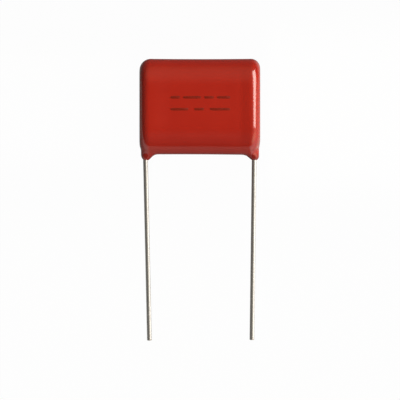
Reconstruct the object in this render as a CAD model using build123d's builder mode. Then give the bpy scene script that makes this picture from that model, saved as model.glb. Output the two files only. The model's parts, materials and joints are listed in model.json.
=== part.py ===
from build123d import *
import os

# A dipped film capacitor lying on its flat back: X runs from lead to lead, the leads point along -Y,
# and +Z points out of the front. The origin is the middle of the flat back. Lengths are in millimetres,
# leans in degrees.

# Film winding, wound on a round mandrel and pressed flat
film_width = 21.5
winding_height = 18.25
winding_thickness = 9.7
eye_gap = 0.2
wrap_thickness = 0.15

# Sprayed metal on both ends of the winding
spray_thickness = 0.6
spray_edge_chamfer = 0.25

# Tinned leads, sunk into the sprayed metal where they are welded
lead_diameter = 1.0
lead_sink = 0.25
lead_weld_length = 11.5
lead_free_length = 38.3
lead_bend_radius = 12.0
lead_tip_chamfer = 0.1
lead_lean_left = 1.25
lead_lean_right = 0.7

# Dipped epoxy coat, and the drip that it forms round the root of each lead
coat_thickness = 0.9
coat_end_cover = 0.75
coat_end_radius = 2.2
drip_length = 1.15
drip_lip = 0.04
drip_end_inset = 0.2
drip_inner_reach = 1.5
drip_blend_radius = 1.0

# Sizes that follow from those
turn_straight = winding_height - winding_thickness
wrapped_thickness = winding_thickness + 2 * wrap_thickness
body_thickness = wrapped_thickness + 2 * coat_thickness
body_height = turn_straight + body_thickness
lead_offset = film_width / 2 + spray_thickness - lead_sink + lead_diameter / 2
lead_cover = lead_diameter / 2 + coat_end_cover
body_length = 2 * (lead_offset + lead_cover)
middle = body_thickness / 2
underside = -body_height / 2
drip_tip = underside - drip_length
drip_outer_reach = lead_cover - drip_end_inset
drip_root_radius = (drip_outer_reach + drip_inner_reach) / 2
drip_tip_radius = lead_diameter / 2 + drip_lip
winding_foot = -(turn_straight + wrapped_thickness) / 2

section_plane = Plane((0, 0, middle), x_dir=(0, 1, 0), z_dir=(1, 0, 0))
lead_plane = Plane.XY.offset(middle)

# Flattened winding, with the closed eye that the mandrel leaves along its middle
with BuildPart() as film_winding:
    with BuildSketch(section_plane):
        SlotCenterToCenter(turn_straight, winding_thickness)
        SlotCenterToCenter(turn_straight, eye_gap, mode=Mode.SUBTRACT)
    extrude(amount=film_width / 2, both=True)

# Turns of plain film that close the winding
with BuildPart() as outer_wrap:
    with BuildSketch(section_plane):
        SlotCenterToCenter(turn_straight, wrapped_thickness)
        SlotCenterToCenter(turn_straight, winding_thickness, mode=Mode.SUBTRACT)
    extrude(amount=film_width / 2, both=True)

pieces = {"film_winding": film_winding, "outer_wrap": outer_wrap}

for end, side, lean in (("left", -1, lead_lean_left), ("right", 1, lead_lean_right)):
    lead_x = side * lead_offset
    outward = Axis((0, 0, 0), (side, 0, 0))

    # Lead: straight along the sprayed end, then leaning in a little where it leaves the drip
    with BuildPart() as lead:
        with BuildLine(lead_plane) as route:
            welded = Line((lead_x, winding_foot + lead_weld_length), (lead_x, drip_tip))
            bend = JernArc(welded @ 1, welded % 1, lead_bend_radius, -side * lean)
            Line(bend @ 1, bend @ 1 + lead_free_length * (bend % 1))
        with BuildSketch(Plane(route.line @ 0, z_dir=route.line % 0)):
            Circle(lead_diameter / 2)
        sweep(path=route.line)
        tip_edge = lead.edges().filter_by(GeomType.CIRCLE).sort_by(Axis.Y)[0]
        chamfer(tip_edge, lead_tip_chamfer)
    pieces[f"lead_{end}"] = lead

    # Sprayed metal over the film edges, with the groove that the lead is welded into
    with BuildPart() as end_spray:
        with BuildSketch(section_plane.offset(side * film_width / 2)):
            SlotCenterToCenter(turn_straight, wrapped_thickness)
        extrude(amount=side * spray_thickness)
        outer_face = end_spray.faces().sort_by(outward)[-1]
        chamfer(outer_face.edges(), spray_edge_chamfer)
        add(lead.part, mode=Mode.SUBTRACT)
    pieces[f"end_spray_{end}"] = end_spray

# Coat: the dipped outside with its two drips, less the room of everything inside
with BuildPart() as epoxy_coat:
    with BuildSketch(section_plane):
        SlotCenterToCenter(turn_straight, body_thickness)
    extrude(amount=body_length / 2, both=True)
    end_faces = epoxy_coat.faces().filter_by(Axis.X)
    fillet(end_faces.edges(), coat_end_radius)
    for side in (-1, 1):
        root_x = side * (lead_offset + (drip_outer_reach - drip_inner_reach) / 2)
        for level, center_x, radius in (
            (underside + coat_end_radius, root_x, drip_root_radius),
            (underside, root_x, drip_root_radius),
            (drip_tip, side * lead_offset, drip_tip_radius),
        ):
            with BuildSketch(Plane((center_x, level, middle), z_dir=(0, -1, 0))):
                Circle(radius)
        loft()
        fillet(epoxy_coat.edges(Select.NEW), drip_blend_radius)
    with BuildSketch(section_plane):
        SlotCenterToCenter(turn_straight, wrapped_thickness)
    extrude(amount=film_width / 2, both=True, mode=Mode.SUBTRACT)
    for end in ("left", "right"):
        add(pieces[f"end_spray_{end}"].part, mode=Mode.SUBTRACT)
        add(pieces[f"lead_{end}"].part, mode=Mode.SUBTRACT)
pieces["epoxy_coat"] = epoxy_coat

os.makedirs("parts", exist_ok=True)
for name, piece in pieces.items():
    piece.part.label = name
    export_step(piece.part, f"parts/{name}.step")
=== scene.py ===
import json
import math

import bmesh
import bpy
import numpy as np
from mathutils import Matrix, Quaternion, Vector


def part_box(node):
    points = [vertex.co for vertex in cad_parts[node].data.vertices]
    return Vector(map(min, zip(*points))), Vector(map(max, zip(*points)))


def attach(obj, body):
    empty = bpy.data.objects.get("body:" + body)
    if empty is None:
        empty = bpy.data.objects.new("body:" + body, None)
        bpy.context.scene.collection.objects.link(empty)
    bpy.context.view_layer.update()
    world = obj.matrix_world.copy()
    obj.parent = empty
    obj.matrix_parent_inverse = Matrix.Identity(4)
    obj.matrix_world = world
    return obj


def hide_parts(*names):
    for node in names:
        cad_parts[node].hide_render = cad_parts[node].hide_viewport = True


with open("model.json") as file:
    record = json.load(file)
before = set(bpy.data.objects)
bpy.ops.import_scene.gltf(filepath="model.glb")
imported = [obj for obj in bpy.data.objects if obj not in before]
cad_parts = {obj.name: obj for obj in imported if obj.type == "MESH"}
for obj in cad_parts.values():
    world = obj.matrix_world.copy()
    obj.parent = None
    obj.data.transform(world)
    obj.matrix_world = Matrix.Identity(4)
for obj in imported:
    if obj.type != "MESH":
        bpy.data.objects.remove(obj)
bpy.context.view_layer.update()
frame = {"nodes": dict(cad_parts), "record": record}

# A dipped film capacitor on its flat back, seen from above: X runs from lead to lead, the leads along -Y.
# Lengths are in metres and angles in degrees.
MM = 0.001

# Camera: how wide its view is at the middle of the body, and the point at the centre of the picture
VIEW_WIDTH = 85.4 * MM
VIEW_CENTRE_X = 0.04 * MM
VIEW_CENTRE_Y = -19.9 * MM
CAMERA_HEIGHT = 450 * MM
CLIP_START = 45 * MM
CLIP_END = 4500 * MM
SENSOR_WIDTH_MM = 36

# Coat, seen from the front: corner radii at the foot and the top of each end, and long edges that sag
CORNER_RADII = {"left": (2.3 * MM, 2.43 * MM), "right": (3.0 * MM, 2.0 * MM)}
EDGE_SAG = 0.09 * MM
EDGE_PROUD = 0.08 * MM
FOOT_TILT_SHARE = 0.005

# Coat, seen from below: radii of the faces' edges, ends that bulge, and faces that sink between the ends
FACE_RADII = {"left": (1.95 * MM, 1.95 * MM), "right": (1.74 * MM, 1.9 * MM)}
END_BULGE = 0.15 * MM
FACE_SINK = 0.2 * MM
FACE_SINK_LEFT = 0.08 * MM
SINK_START = 2.1 * MM
SINK_END = {"left": 7.0 * MM, "right": 4.5 * MM}

# Slow unevenness of the dip
WAVE_DEPTH = 0.002 * MM
WAVE_LENGTH = 7.0 * MM
WAVE_SLANT_SHARE = 0.4

# Drips round the roots of the leads
DRIP_SHIFT = 0.1 * MM
DRIP_INNER = 1.1 * MM
DRIP_OUTER = {"left": 1.05 * MM, "right": 0.95 * MM}
DRIP_DEEP = 1.4 * MM
DRIP_BELLY = {"left": 0, "right": 0.3 * MM}
DRIP_ROOT = 3.0 * MM
DRIP_INNER_BLEND = 1.5 * MM
DRIP_OUTER_BLEND = 0.3 * MM
DRIP_LIP = 0.03 * MM

# Mesh of the coat: lines along its three axes, their crowding towards the ends, and the care of its cuts
COAT_LINES = (151, 97, 85)
CROWDING_SHARES = (0.7, 0.2, 0)
RAY_SHARE = 1.4
HALVINGS = 40
GRID_DIGITS = 9
SHARP_ANGLE = 40
MERGE_GAP = 0.012 * MM
SLIVER_GAP = 0.001 * MM
MOST_CORNERS = 4

# Room in the coat for the wrapped winding and its chamfered, sprayed ends
ROOM_POINTS = 128
SPRAY_CHAMFER = 0.25 * MM

# Leads, with a faint unevenness of the tin
LEAD_SIDES = 48
LEAD_RING_GAP = 0.4 * MM
BEND_RINGS = 8
TIP_CHAMFER = 0.1 * MM
TIN_UNEVEN_SHARE = 0.004
TIN_WAVES = (1.9 * MM, 0.73 * MM)
TIN_TWIST = 6.0 * MM

# Printed marks on the front: two rows of plain bars
MARK_ROWS_Y = (1.75 * MM, -0.75 * MM)
MARK_ROW_SHARES = ((0.16, 0.3, 0.16, 0.22), (0.3, 0.16, 0.34))
MARK_ROW_LENGTH = 12.6 * MM
MARK_ROW_START_X = -6.2 * MM
MARK_HEIGHT = 0.55 * MM
MARK_POINTS = 28
MARK_SQUARENESS = 0.35
INK_DEPTH = 0.012 * MM
INK_EDGE = 0.005 * MM
INK_ROUND = 0.03 * MM
INK_SKIRT = 0.03 * MM

# Finishes: colours, roughness, and the size and depth of patterns, with their darkest and palest shares
SHADE_SHARES = (0.3, 0.7)
PLAIN_DETAIL = 3

EPOXY_IOR = 1.7
EPOXY_COLOURS = ((0.39, 0.0118, 0.0022), (0.415, 0.0136, 0.003))
EPOXY_ROUGHNESS = (0.13, 0.18)
# Painted shade: the dip's colour is scaled down by this share in the drips, below the foot
EPOXY_DRIP_SHADE_SHARE = 0.72
EPOXY_DRIP_SHADE_Y = (-9.7 * MM, -10.7 * MM)
EPOXY_CLOUD = 5.0 * MM
EPOXY_PEEL = 4.0 * MM
EPOXY_PEEL_DETAIL = 1
EPOXY_PEEL_DEPTH = 0.0015 * MM

WIRE_COLOURS = ((0.65, 0.645, 0.63), (0.71, 0.705, 0.69))
WIRE_ROUGHNESS = (0.5, 0.58)
WIRE_STREAK = 0.16 * MM
WIRE_STREAK_DETAIL = 1
WIRE_STREAK_STRETCH = (1, 25, 1)
WIRE_STREAK_DEPTH = 0.0005 * MM
WIRE_CLOUD = 0.6 * MM
WIRE_CLOUD_STRETCH = (1, 5, 1)

INK_COLOURS = ((0.17, 0.009, 0.001), (0.23, 0.011, 0.002))
INK_ROUGHNESS = (0.35, 0.55)
INK_SPECULAR = 0.2
INK_GRAIN = 0.25 * MM
INK_GRAIN_DEPTH = 0.003 * MM

SPRAY_COLOURS = ((0.26, 0.26, 0.27), (0.5, 0.5, 0.51))
SPRAY_ROUGHNESS = (0.55, 0.8)
SPRAY_GRAIN = 0.15 * MM
SPRAY_GRAIN_DETAIL = 6
SPRAY_GRAIN_DEPTH = 0.06 * MM

FILM_COLOURS = ((0.42, 0.43, 0.44), (0.6, 0.61, 0.62))
FILM_ROUGHNESS = (0.3, 0.5)
FILM_TURN = 0.08 * MM
FILM_TURN_DETAIL = 2
FILM_TURN_STRETCH = (200, 8, 1)
FILM_TURN_DEPTH = 0.01 * MM

WRAP_COLOURS = ((0.62, 0.55, 0.36), (0.75, 0.69, 0.5))
WRAP_ROUGHNESS = (0.15, 0.3)
WRAP_WRINKLE = 1.2 * MM
WRAP_WRINKLE_DETAIL = 4
WRAP_WRINKLE_STRETCH = (6, 1, 1)
WRAP_WRINKLE_DEPTH = 0.03 * MM

# Floor: its shares of plain white, to the eye and in reflections, and the greys of its paint
FLOOR_REACH = 2.0
FLOOR_SEEN_SHARE = 0.98
FLOOR_MIRRORED_SHARE = 0.06
FLOOR_BESIDE_SHARES = {"left": 0.4, "right": 0.75}
FLOOR_BESIDE_X = (12 * MM, 18 * MM)
FLOOR_BESIDE_Y = (-15 * MM, -24 * MM)
# Painted shade and light on the floor: darker near the foot and behind the body, paler beside the ends and
# out in front
FLOOR_PAINTED_GREYS = {"foot": 0.15, "top": 0.06, "left": 0.25, "right": 0.55, "front": 0.16}
FLOOR_PAINTED_LIGHT_X = (12 * MM, 17 * MM)
FLOOR_PAINTED_LIGHT_Y = {"left": (8 * MM, 15 * MM), "right": (10 * MM, 24 * MM)}
FLOOR_PAINTED_LIGHT_FRONT_Y = (-16 * MM, -42 * MM)

# Glows of the surroundings: direction, the cosines at which each starts and is full, and its light
GLOWS = (
    {"azimuth": 0, "lean": 0, "start": -0.2, "full": 0.5, "light": (0.12, 0.118, 0.11)},
    {"azimuth": 90, "lean": 64, "start": 0.5, "full": 1, "light": (0.2, 0.17, 0.12)},
    {"azimuth": -90, "lean": 68, "start": 0.5, "full": 1, "light": (0.05, 0.05, 0.05)},
    {"azimuth": 0, "lean": 88, "start": 0.8, "full": 1, "light": (0.75, 0.62, 0.48)},
    {"azimuth": 8, "lean": 46, "start": 0.7, "full": 1, "light": (0.55, 0.5, 0.4)},
    {"azimuth": -44, "lean": 72, "start": 0.82, "full": 1, "light": (1.65, 1.3, 0.97)},
)

# Lamps, in metres and watts
LAMP_COLOUR = (1, 0.97, 0.89)
LEAD_LAMP_COLOUR = (1, 0.99, 0.96)
LAMPS = {
    "key": {"azimuth": 32, "lean": 57, "roll": 0, "distance": 1.5, "size": (1.5, 0.9), "power": 24},
    "fill": {"azimuth": -60, "lean": 42, "roll": 0, "distance": 1.5, "size": (0.9, 0.9), "power": 6.5},
    "strip": {"azimuth": 34, "lean": 57, "roll": -30, "distance": 0.5, "size": (0.58, 0.32), "power": 4.2},
    "lead_lamp": {"azimuth": 8, "lean": 70, "roll": 0, "distance": 0.8, "size": (0.3, 0.3), "power": 3.1},
}

# The two ends of the body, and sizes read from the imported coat
SIDES = {"left": -1, "right": 1}
coat_low, coat_high = (np.array(corner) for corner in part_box("epoxy_coat"))
half_length, half_height, thickness = coat_high
middle = thickness / 2
flat_half = half_height - middle
drip_length = -half_height - coat_low[1]


def lead_facts(end):
    """A lead's radius, the x of its weld, its reach in y, and a point and the direction of its free run."""
    low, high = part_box(f"lead_{end}")
    pin = next(mount for mount in frame["record"]["mounts"] if mount["name"] == f"lead_{end}_pin")
    radius = pin["dims"]["r_mm"] * MM
    root_x = low.x + radius if end == "left" else high.x - radius
    return {
        "radius": radius,
        "root_x": root_x,
        "top_y": high.y,
        "tip_y": low.y,
        "through": Vector(pin["pos_m"]),
        "direction": Vector(pin["axis"]),
    }


leads = {end: lead_facts(end) for end in SIDES}


# Formulas


def blend(low, high, share):
    """Goes from low to high as the share goes from 0 to 1."""
    return low + (high - low) * share


def smooth_step(low, high, value):
    """Goes from 0 to 1 as value goes from low to high, level at both ends."""
    share = np.clip((value - low) / (high - low), 0, 1)
    return share * share * (3 - 2 * share)


def smooth_union(first, second, reach):
    """Joins two distance fields, with a round blend where they meet."""
    overlap = np.maximum(reach - np.abs(first - second), 0) / reach
    return np.minimum(first, second) - overlap * overlap * reach / 4


# Form of the coat


def edge_radius(x, y, z):
    """Radius of the edges round the ends: the corners' at mid thickness, the faces' at front and back."""
    up = smooth_step(-half_height, half_height, y)
    corner = np.where(x < 0, blend(*CORNER_RADII["left"], up), blend(*CORNER_RADII["right"], up))
    face = np.where(x < 0, blend(*FACE_RADII["left"], up), blend(*FACE_RADII["right"], up))
    return blend(corner, face, np.clip(z / middle, -1, 1) ** 2)


def sagged_y(x, y):
    """Takes the sag of the long edges and the tilt of the foot out of y."""
    sag = EDGE_SAG * (1 - (x / half_length) ** 2) - EDGE_PROUD
    foot = smooth_step(half_height, -half_height, y)
    return y * (1 + sag / half_height) + FOOT_TILT_SHARE * x * foot


def sunk_z(x, z):
    """Takes the sink of the faces out of z, which is measured from the middle."""
    end_sink = np.where(x < 0, FACE_SINK_LEFT, 0)
    sink_end = np.where(x < 0, SINK_END["left"], SINK_END["right"])
    inward = smooth_step(SINK_START, sink_end, half_length - np.abs(x))
    return z * (1 + blend(end_sink, FACE_SINK, inward) / middle)


def dip_wave(x, y, z):
    """The slow unevenness of the dip."""
    turn = 2 * math.pi / WAVE_LENGTH
    along = np.sin(turn * (x + WAVE_SLANT_SHARE * y))
    across = np.sin(turn * (y - WAVE_SLANT_SHARE * x + z))
    return WAVE_DEPTH * along * across


def body_field(x, y, z):
    """Distance to the coat without its drips, negative inside. z is measured from the middle."""
    full_y = sagged_y(x, y)
    full_z = sunk_z(x, z)
    section = np.hypot(np.maximum(np.abs(full_y) - flat_half, 0), full_z) - middle + dip_wave(x, y, z)
    end = np.abs(x) + END_BULGE * (full_z / middle) ** 2 - half_length
    radius = edge_radius(x, y, full_z)
    past_section = section + radius
    past_end = end + radius
    outside = np.hypot(np.maximum(past_section, 0), np.maximum(past_end, 0))
    return outside + np.minimum(np.maximum(past_section, past_end), 0) - radius


def drip_field(x, y, z, end):
    """Distance to the drip at one end, negative inside, and the reach of its blend with the body."""
    inward = SIDES[end] * (leads[end]["root_x"] + DRIP_SHIFT - x)
    below = -half_height - y
    outer, belly = DRIP_OUTER[end], DRIP_BELLY[end]
    reach = np.where(inward > 0, DRIP_INNER, outer)
    tip_share = (leads[end]["radius"] + DRIP_LIP) / outer
    drop = (drip_length - belly) / math.sqrt(1 - tip_share**2)
    along = np.maximum(np.maximum(below - belly, -below - DRIP_ROOT), 0) / drop
    deep = blend(DRIP_DEEP, outer, np.clip(below / drip_length, 0, 1))
    finger = (np.sqrt((inward / reach) ** 2 + (z / deep) ** 2 + along**2) - 1) * outer
    facing = inward / np.maximum(np.hypot(inward, z), DRIP_LIP)
    return finger, blend(DRIP_OUTER_BLEND, DRIP_INNER_BLEND, smooth_step(-1, 1, facing))


def coat_field(points):
    """Distance from points to the coat's outside, near enough, negative inside."""
    x, y, height = points.T
    z = height - middle
    field = body_field(x, y, z)
    for end in SIDES:
        finger, reach = drip_field(x, y, z, end)
        field = smooth_union(field, finger, reach)
    return field


def out_to_coat(start, step):
    """Follows each step out from its start to the coat's surface, by halving."""
    inner = np.zeros(len(start))
    outer = np.full(len(start), RAY_SHARE)
    for _ in range(HALVINGS):
        trial = (inner + outer) / 2
        inside = coat_field(start + step * trial[:, None]) < 0
        inner = np.where(inside, trial, inner)
        outer = np.where(inside, outer, trial)
    return start + step * inner[:, None]


# Meshes


def crowded(half, count, share):
    """Places from -half to half that lie closer together towards both ends."""
    even = np.linspace(-1, 1, count)
    return half * blend(even, np.sin(even * math.pi / 2), share)


def box_grid(lines):
    """Points and quads of a box's surface, divided at the given places along its three axes."""
    points = []
    quads = []
    count = 0
    for axis in range(3):
        across, along = (axis + 1) % 3, (axis + 2) % 3
        first, second = np.meshgrid(lines[across], lines[along], indexing="ij")
        number = np.arange(first.size).reshape(first.shape)
        corners = (number[:-1, :-1], number[1:, :-1], number[1:, 1:], number[:-1, 1:])
        face_quads = np.stack(corners, axis=-1).reshape(-1, 4)
        for place, order in ((lines[axis][0], -1), (lines[axis][-1], 1)):
            face = np.empty((first.size, 3))
            face[:, axis] = place
            face[:, across] = first.ravel()
            face[:, along] = second.ravel()
            points.append(face)
            quads.append(face_quads[:, ::order] + count)
            count += first.size
    rounded = np.round(np.concatenate(points), GRID_DIGITS)
    merged, index = np.unique(rounded, axis=0, return_inverse=True)
    return merged, index.ravel()[np.concatenate(quads)]


def tube_faces(first, rings, sides):
    """Quads between rings of points that follow each other from the first point, and a cap on both ends."""
    faces = []
    for ring in range(rings - 1):
        low = first + ring * sides
        high = low + sides
        for step in range(sides):
            following = (step + 1) % sides
            faces.append((low + step, low + following, high + following, high + step))
    last = first + (rings - 1) * sides
    faces.append(tuple(reversed(range(first, first + sides))))
    faces.append(tuple(range(last, last + sides)))
    return faces


def add_mesh(name, points, faces, material, smooth=True):
    """A new object in the scene from points and faces."""
    mesh = bpy.data.meshes.new(name)
    mesh.from_pydata(np.asarray(points).tolist(), [], [list(map(int, face)) for face in faces])
    mesh.polygons.foreach_set("use_smooth", [smooth] * len(mesh.polygons))
    mesh.materials.append(material)
    mesh.validate()
    mesh.update()
    piece = bpy.data.objects.new(name, mesh)
    bpy.context.scene.collection.objects.link(piece)
    return piece


# Hollow coat


def room_ring(x, inset):
    """Points round the wrapped winding's flat oval, drawn in by the inset."""
    low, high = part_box("outer_wrap")
    full_radius = (high.z - low.z) / 2
    points = []
    for step in range(ROOM_POINTS):
        angle = 2 * math.pi * (step + 1 / 2) / ROOM_POINTS
        turn = Vector((0, math.cos(angle), math.sin(angle)))
        centre = Vector((x, math.copysign(high.y - full_radius, turn.y), middle))
        points.append(centre + turn * (full_radius - inset))
    return points


def build_room(material):
    """What the coat is dipped over: the wrapped winding and its sprayed ends, as one solid."""
    left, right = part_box("end_spray_left")[0].x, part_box("end_spray_right")[1].x
    points = room_ring(left, SPRAY_CHAMFER) + room_ring(left + SPRAY_CHAMFER, 0)
    points += room_ring(right - SPRAY_CHAMFER, 0) + room_ring(right, SPRAY_CHAMFER)
    rings = len(points) // ROOM_POINTS
    return add_mesh("room", points, tube_faces(0, rings, ROOM_POINTS), material)


def clean_cuts(mesh):
    """Merges points that lie very close together along the cuts, and splits the faces with many corners."""
    form = bmesh.new()
    form.from_mesh(mesh)
    bmesh.ops.remove_doubles(form, verts=form.verts, dist=MERGE_GAP)
    bmesh.ops.dissolve_degenerate(form, edges=form.edges, dist=SLIVER_GAP)
    many = [face for face in form.faces if len(face.verts) > MOST_CORNERS]
    bmesh.ops.triangulate(form, faces=many)
    form.to_mesh(mesh)
    form.free()


def hollow_out(coat, cutters):
    """Cuts the cutters' room out of the coat, and keeps the rims of the cuts sharp."""
    for cutter in cutters:
        cut = coat.modifiers.new(cutter.name, "BOOLEAN")
        cut.operation = "DIFFERENCE"
        cut.solver = "EXACT"
        cut.object = cutter
    seen = coat.evaluated_get(bpy.context.evaluated_depsgraph_get())
    hollow = bpy.data.meshes.new_from_object(seen)
    clean_cuts(hollow)
    hollow.set_sharp_from_angle(angle=math.radians(SHARP_ANGLE))
    coat.modifiers.clear()
    coat.data = hollow


def build_coat(material, wires):
    """The dipped coat with its drips, round the room of everything inside it."""
    halves = (half_length, half_height, middle)
    grid, quads = box_grid([crowded(*line) for line in zip(halves, COAT_LINES, CROWDING_SHARES)])
    core_half = half_length - max(map(max, FACE_RADII.values())) - END_BULGE
    core = np.zeros_like(grid)
    core[:, 0] = np.clip(grid[:, 0], -core_half, core_half)
    core[:, 1] = np.clip(grid[:, 1], -flat_half, flat_half)
    lift = np.array((0, 0, middle))
    coat = add_mesh("coat", out_to_coat(core + lift, grid - core), quads, material)
    room = build_room(material)
    hollow_out(coat, [room, *wires])
    bpy.data.objects.remove(room)
    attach(coat, "root")
    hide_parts("epoxy_coat")


# Leads


def straight_run(start, stop):
    """Evenly spaced centres from start to stop."""
    rings = math.ceil((stop - start).length / LEAD_RING_GAP)
    return [start.lerp(stop, ring / rings) for ring in range(rings + 1)]


def lead_route(lead):
    """Centres along a lead from its welded end to its tip: a straight run, a slight bend, a straight run."""
    root_x, through, direction = lead["root_x"], lead["through"], lead["direction"]
    top = Vector((root_x, lead["top_y"], middle))
    bend_start = Vector((root_x, coat_low[1], middle))
    corner = through + direction * ((root_x - through.x) / direction.x)
    bend_end = corner + direction * (corner - bend_start).length
    tip = through + direction * ((lead["tip_y"] - through.y) / direction.y)
    bend = []
    for ring in range(1, BEND_RINGS):
        share = ring / BEND_RINGS
        bend.append(bend_start.lerp(corner, share).lerp(corner.lerp(bend_end, share), share))
    return straight_run(top, bend_start) + bend + straight_run(bend_end, tip)


def wire_ring(centre, along, radius):
    """Points round a lead's centre, with the unevenness of the tin."""
    up = Vector((0, 0, 1))
    side = up.cross(along)
    ripple = sum(math.sin(centre.y / wave) for wave in TIN_WAVES)
    points = []
    for step in range(LEAD_SIDES):
        angle = 2 * math.pi * step / LEAD_SIDES
        size = radius * (1 + TIN_UNEVEN_SHARE * ripple * math.sin(angle + centre.y / TIN_TWIST))
        points.append(centre + (side * math.cos(angle) + up * math.sin(angle)) * size)
    return points


def build_lead(end, material):
    """A tinned wire lead with a clipped tip."""
    route = lead_route(leads[end])
    tip = route[-1]
    inward = (route[-2] - tip).normalized()
    centres = route[:-1] + [tip + inward * TIP_CHAMFER, tip]
    points = []
    for number, centre in enumerate(centres):
        before = centres[max(number - 1, 0)]
        after = centres[min(number + 1, len(centres) - 1)]
        chamfer = TIP_CHAMFER if centre is tip else 0
        points.extend(wire_ring(centre, (after - before).normalized(), leads[end]["radius"] - chamfer))
    wire = add_mesh(f"wire_{end}", points, tube_faces(0, len(centres), LEAD_SIDES), material)
    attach(wire, "root")
    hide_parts(f"lead_{end}")
    return wire


# Printed marks


def mark_places():
    """The centre and half width of each printed bar."""
    places = []
    for row_y, shares in zip(MARK_ROWS_Y, MARK_ROW_SHARES):
        gap_share = (1 - sum(shares)) / (len(shares) - 1)
        start_share = 0
        for share in shares:
            centre_x = MARK_ROW_START_X + (start_share + share / 2) * MARK_ROW_LENGTH
            places.append((centre_x, row_y, share * MARK_ROW_LENGTH / 2))
            start_share += share + gap_share
    return places


def bar_ring(centre_x, centre_y, half_width, half_tall):
    """Points round a bar with rounded corners, at the level of the body's middle."""
    points = []
    for step in range(MARK_POINTS):
        angle = 2 * math.pi * step / MARK_POINTS
        across = math.copysign(abs(math.cos(angle)) ** MARK_SQUARENESS, math.cos(angle))
        upward = math.copysign(abs(math.sin(angle)) ** MARK_SQUARENESS, math.sin(angle))
        points.append((centre_x + across * half_width, centre_y + upward * half_tall, middle))
    return points


def build_marks(material):
    """Rows of plain printed bars that lie on the curve of the front."""
    rings = ((0, -INK_SKIRT), (0, INK_EDGE), (INK_ROUND, INK_DEPTH))
    points = []
    lifts = []
    faces = []
    for centre_x, centre_y, half_width in mark_places():
        faces.extend(tube_faces(len(points), len(rings), MARK_POINTS))
        for inset, lift in rings:
            points.extend(bar_ring(centre_x, centre_y, half_width - inset, MARK_HEIGHT / 2 - inset))
            lifts.extend([lift] * MARK_POINTS)
    step_up = np.tile((0, 0, middle), (len(points), 1))
    skin = out_to_coat(np.array(points), step_up)
    skin[:, 2] += lifts
    marks = add_mesh("printed_bars", skin, faces, material)
    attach(marks, "root")


# Patterns and finishes


def new_material(name):
    """A material with a Principled shader, its node tree, and that shader."""
    material = bpy.data.materials.new(name)
    material.use_nodes = True
    return material, material.node_tree, material.node_tree.nodes["Principled BSDF"]


def grain(tree, size, detail=PLAIN_DETAIL, stretch=(1, 1, 1)):
    """Noise with features of about that size, drawn out along the axes by stretch."""
    place = tree.nodes.new("ShaderNodeTexCoord")
    mapping = tree.nodes.new("ShaderNodeMapping")
    mapping.inputs["Scale"].default_value = [1 / (size * pull) for pull in stretch]
    texture = tree.nodes.new("ShaderNodeTexNoise")
    texture.inputs["Scale"].default_value = 1
    texture.inputs["Detail"].default_value = detail
    tree.links.new(place.outputs["Object"], mapping.inputs["Vector"])
    tree.links.new(mapping.outputs["Vector"], texture.inputs["Vector"])
    return texture.outputs["Fac"]


def own_xy(tree):
    """The x and y of each point, in the object's own frame."""
    place = tree.nodes.new("ShaderNodeTexCoord")
    split = tree.nodes.new("ShaderNodeSeparateXYZ")
    tree.links.new(place.outputs["Object"], split.inputs["Vector"])
    return split.outputs["X"], split.outputs["Y"]


def between(tree, factor, low, high, start=0, full=1, smooth=False):
    """Turns a pattern that goes from start to full into a value from low to high."""
    spread = tree.nodes.new("ShaderNodeMapRange")
    spread.interpolation_type = "SMOOTHSTEP" if smooth else "LINEAR"
    for name, value in (("From Min", start), ("From Max", full), ("To Min", low), ("To Max", high)):
        spread.inputs[name].default_value = value
    tree.links.new(factor, spread.inputs["Value"])
    return spread.outputs["Result"]


def together(tree, operation, first, second=None):
    """One value worked out from one or two others."""
    made = tree.nodes.new("ShaderNodeMath")
    made.operation = operation
    tree.links.new(first, made.inputs[0])
    if second is not None:
        tree.links.new(second, made.inputs[1])
    return made.outputs[0]


def shades(tree, factor, dark, light):
    """Turns the middle of a 0 to 1 pattern into a colour between two."""
    ramp = tree.nodes.new("ShaderNodeValToRGB")
    for element, share, colour in zip(ramp.color_ramp.elements, SHADE_SHARES, (dark, light)):
        element.position = share
        element.color = (*colour, 1)
    tree.links.new(factor, ramp.inputs["Fac"])
    return ramp.outputs["Color"]


def dress(tree, shader, colour_grain, colours, rough_grain, roughness, bump_grain, depth):
    """Drives a shader's colour, roughness and bumps by patterns."""
    tree.links.new(shades(tree, colour_grain, *colours), shader.inputs["Base Color"])
    tree.links.new(between(tree, rough_grain, *roughness), shader.inputs["Roughness"])
    bump = tree.nodes.new("ShaderNodeBump")
    bump.inputs["Strength"].default_value = 1
    bump.inputs["Distance"].default_value = depth
    tree.links.new(bump_grain, bump.inputs["Height"])
    tree.links.new(bump.outputs["Normal"], shader.inputs["Normal"])


def paint_drip_shade(tree, shader):
    """Scales the colour down in the drips, as painted shade where the body shades them."""
    _, y = own_xy(tree)
    # Painted shade in the drips: the colour is scaled down below the foot of the body
    drip_shade = between(tree, y, 1, EPOXY_DRIP_SHADE_SHARE, *EPOXY_DRIP_SHADE_Y, smooth=True)
    shaded_colour = tree.nodes.new("ShaderNodeVectorMath")
    shaded_colour.operation = "SCALE"
    tree.links.new(shader.inputs["Base Color"].links[0].from_socket, shaded_colour.inputs[0])
    tree.links.new(drip_shade, shaded_colour.inputs["Scale"])
    tree.links.new(shaded_colour.outputs["Vector"], shader.inputs["Base Color"])


def epoxy_material():
    """Glossy red dip, a little cloudy, darkened in the drips by painted shade, with a faint orange peel."""
    material, tree, shader = new_material("red_epoxy_dip")
    shader.inputs["IOR"].default_value = EPOXY_IOR
    cloud = grain(tree, EPOXY_CLOUD)
    peel = grain(tree, EPOXY_PEEL, EPOXY_PEEL_DETAIL)
    dress(tree, shader, cloud, EPOXY_COLOURS, peel, EPOXY_ROUGHNESS, peel, EPOXY_PEEL_DEPTH)
    paint_drip_shade(tree, shader)
    return material


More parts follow.
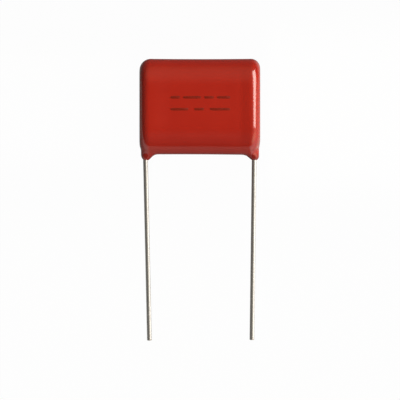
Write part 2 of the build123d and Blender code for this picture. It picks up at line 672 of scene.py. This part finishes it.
def wire_material():
    """Tinned copper wire with faint marks along its length."""
    material, tree, shader = new_material("tinned_copper")
    shader.inputs["Metallic"].default_value = 1
    streaks = grain(tree, WIRE_STREAK, WIRE_STREAK_DETAIL, WIRE_STREAK_STRETCH)
    cloud = grain(tree, WIRE_CLOUD, stretch=WIRE_CLOUD_STRETCH)
    dress(tree, shader, streaks, WIRE_COLOURS, cloud, WIRE_ROUGHNESS, streaks, WIRE_STREAK_DEPTH)
    return material


def ink_material():
    """Dull dark printing ink, thin in places."""
    material, tree, shader = new_material("dark_ink")
    shader.inputs["Specular IOR Level"].default_value = INK_SPECULAR
    specks = grain(tree, INK_GRAIN)
    dress(tree, shader, specks, INK_COLOURS, specks, INK_ROUGHNESS, specks, INK_GRAIN_DEPTH)
    return material


def spray_material():
    """Grainy sprayed zinc."""
    material, tree, shader = new_material("sprayed_zinc")
    shader.inputs["Metallic"].default_value = 1
    grains = grain(tree, SPRAY_GRAIN, SPRAY_GRAIN_DETAIL)
    dress(tree, shader, grains, SPRAY_COLOURS, grains, SPRAY_ROUGHNESS, grains, SPRAY_GRAIN_DEPTH)
    return material


def film_material():
    """Metallised film, with lines where the turns lie on each other."""
    material, tree, shader = new_material("metallised_turns")
    shader.inputs["Metallic"].default_value = 1
    turns = grain(tree, FILM_TURN, FILM_TURN_DETAIL, FILM_TURN_STRETCH)
    dress(tree, shader, turns, FILM_COLOURS, turns, FILM_ROUGHNESS, turns, FILM_TURN_DEPTH)
    return material


def wrap_material():
    """Plain yellowish film with small wrinkles."""
    material, tree, shader = new_material("plain_wrap_film")
    wrinkles = grain(tree, WRAP_WRINKLE, WRAP_WRINKLE_DETAIL, WRAP_WRINKLE_STRETCH)
    dress(tree, shader, wrinkles, WRAP_COLOURS, wrinkles, WRAP_ROUGHNESS, wrinkles, WRAP_WRINKLE_DEPTH)
    return material


def dress_inside():
    """Materials for the pieces that the coat hides."""
    finishes = {"film_winding": film_material(), "outer_wrap": wrap_material()}
    finishes["end_spray_left"] = finishes["end_spray_right"] = spray_material()
    for name, material in finishes.items():
        mesh = frame["nodes"][name].data
        mesh.materials.clear()
        mesh.materials.append(material)


# Floor


def beside_ends(tree, x, amounts, reach):
    """For each end, a value that grows from 0 to its amount as x goes out past that end."""
    made = {}
    for end, side in SIDES.items():
        start, full = (side * limit for limit in reach)
        made[end] = between(tree, x, 0, amounts[end], start, full, smooth=True)
    return made


def floor_paint_with_painted_light(tree):
    """Grey paint that takes the shadow, with painted shade near the body's foot and behind it, and painted
    light beside the two ends of the body and out in front.
    """
    x, y = own_xy(tree)
    paint = tree.nodes.new("ShaderNodeBsdfDiffuse")
    # Painted shade near the foot and behind the body, and painted light out in front and beside the ends
    grey = between(tree, y, FLOOR_PAINTED_GREYS["foot"], FLOOR_PAINTED_GREYS["top"], -half_height, half_height, smooth=True)
    front = between(tree, y, 0, FLOOR_PAINTED_GREYS["front"], *FLOOR_PAINTED_LIGHT_FRONT_Y, smooth=True)
    grey = together(tree, "ADD", grey, front)
    aside = together(tree, "ABSOLUTE", y)
    for end, painted_light in beside_ends(tree, x, FLOOR_PAINTED_GREYS, FLOOR_PAINTED_LIGHT_X).items():
        level = between(tree, aside, 1, 0, *FLOOR_PAINTED_LIGHT_Y[end], smooth=True)
        grey = together(tree, "ADD", grey, together(tree, "MULTIPLY", painted_light, level))
    tree.links.new(grey, paint.inputs["Color"])
    return paint.outputs["BSDF"]


def floor_mirrored(tree):
    """How white the floor is in reflections: little so by the body, more so beside the leads."""
    x, y = own_xy(tree)
    below = between(tree, y, 0, 1, *FLOOR_BESIDE_Y, smooth=True)
    beside = beside_ends(tree, x, FLOOR_BESIDE_SHARES, FLOOR_BESIDE_X)
    white = together(tree, "MULTIPLY", below, together(tree, "ADD", *beside.values()))
    return between(tree, white, FLOOR_MIRRORED_SHARE, 1)


def floor_material():
    """White to the eye, partly so in reflections, and paint for the rest."""
    material, tree, shader = new_material("white_floor")
    tree.nodes.remove(shader)
    rays = tree.nodes.new("ShaderNodeLightPath")
    white = between(tree, rays.outputs["Is Camera Ray"], 0, FLOOR_SEEN_SHARE)
    mirrored = floor_mirrored(tree)
    for name in ("Is Glossy Ray", "Is Transmission Ray"):
        bounced = together(tree, "MULTIPLY", rays.outputs[name], mirrored)
        white = together(tree, "MAXIMUM", white, bounced)
    glow = tree.nodes.new("ShaderNodeEmission")
    mixed = tree.nodes.new("ShaderNodeMixShader")
    tree.links.new(white, mixed.inputs["Fac"])
    tree.links.new(floor_paint_with_painted_light(tree), mixed.inputs[1])
    tree.links.new(glow.outputs["Emission"], mixed.inputs[2])
    tree.links.new(mixed.outputs["Shader"], tree.nodes["Material Output"].inputs["Surface"])
    return material


def build_floor():
    """A wide flat floor under the body."""
    low, high = -FLOOR_REACH, FLOOR_REACH
    corners = [(low, low, 0), (high, low, 0), (high, high, 0), (low, high, 0)]
    floor = add_mesh("floor", corners, [(0, 1, 2, 3)], floor_material(), smooth=False)


# Surroundings, lamps and camera


def from_angles(azimuth, lean):
    """A direction: azimuth is turned from +X towards +Y, and lean is measured from straight up."""
    turn, tip = math.radians(azimuth), math.radians(lean)
    return Vector((math.sin(tip) * math.cos(turn), math.sin(tip) * math.sin(turn), math.cos(tip)))


def soft_glow(tree, place, azimuth, lean, start, full, light):
    """Light that grows to its full colour as a direction nears the glow's own."""
    nearness = tree.nodes.new("ShaderNodeVectorMath")
    nearness.operation = "DOT_PRODUCT"
    nearness.inputs[1].default_value = from_angles(azimuth, lean)
    tree.links.new(place, nearness.inputs[0])
    glow = tree.nodes.new("ShaderNodeVectorMath")
    glow.operation = "MULTIPLY"
    glow.inputs[1].default_value = light
    tree.links.new(between(tree, nearness.outputs["Value"], 0, 1, start, full, smooth=True), glow.inputs[0])
    return glow.outputs["Vector"]


def build_world():
    """A dim room with wide soft glows."""
    world = bpy.data.worlds.new("soft_room")
    world.use_nodes = True
    tree = world.node_tree
    place = tree.nodes.new("ShaderNodeTexCoord").outputs["Generated"]
    total = tree.nodes["Background"].inputs["Color"]
    for facts in GLOWS:
        both = tree.nodes.new("ShaderNodeVectorMath")
        tree.links.new(both.outputs["Vector"], total)
        tree.links.new(soft_glow(tree, place, **facts), both.inputs[0])
        total = both.inputs[1]
    bpy.context.scene.world = world


def add_lamp(name, azimuth, lean, roll, distance, size, power):
    """A softbox that faces the body, with its width level before the roll."""
    data = bpy.data.lights.new(name, "AREA")
    data.shape = "RECTANGLE"
    data.size, data.size_y = size
    data.energy = power
    data.color = LAMP_COLOUR
    lamp = bpy.data.objects.new(name, data)
    towards = from_angles(azimuth, lean)
    lamp.location = Vector((0, 0, middle)) + towards * distance
    lamp.rotation_mode = "QUATERNION"
    lamp.rotation_quaternion = towards.to_track_quat("Z", "Y") @ Quaternion((0, 0, 1), math.radians(roll))
    bpy.context.scene.collection.objects.link(lamp)
    return lamp


def link_light(lamp, pieces, state):
    """Lets a lamp light only some pieces, or all but those: the state is INCLUDE or EXCLUDE."""
    linked = bpy.data.collections.new(f"{lamp.name}_link")
    for piece in pieces:
        linked.objects.link(piece)
    for entry in linked.collection_objects:
        entry.light_linking.link_state = state
    lamp.light_linking.receiver_collection = linked


def build_lamps(wires):
    """A key and a fill without reflections, a strip that is only reflected, and one for the leads alone."""
    key, fill, strip, lead_lamp = (add_lamp(name, **facts) for name, facts in LAMPS.items())
    for lamp in (key, fill):
        lamp.visible_glossy = False
    strip.visible_diffuse = False
    lead_lamp.data.color = LEAD_LAMP_COLOUR
    for lamp in (key, fill, strip):
        link_light(lamp, wires, "EXCLUDE")
    link_light(lead_lamp, wires, "INCLUDE")


def build_camera():
    """A camera straight above, which sees the whole part as the picture shows it."""
    data = bpy.data.cameras.new("camera")
    data.sensor_width = SENSOR_WIDTH_MM
    data.lens = SENSOR_WIDTH_MM * CAMERA_HEIGHT / VIEW_WIDTH
    data.clip_start = CLIP_START
    data.clip_end = CLIP_END
    camera = bpy.data.objects.new("camera", data)
    camera.location = (VIEW_CENTRE_X, VIEW_CENTRE_Y, middle + CAMERA_HEIGHT)
    bpy.context.scene.collection.objects.link(camera)
    bpy.context.scene.camera = camera


# The scene, with the leads first because the coat is cut to them
tin = wire_material()
wires = [build_lead(end, tin) for end in SIDES]
build_coat(epoxy_material(), wires)
build_marks(ink_material())
dress_inside()
build_floor()
build_world()
build_lamps(wires)
build_camera()
bpy.context.scene.view_settings.view_transform = "Standard"
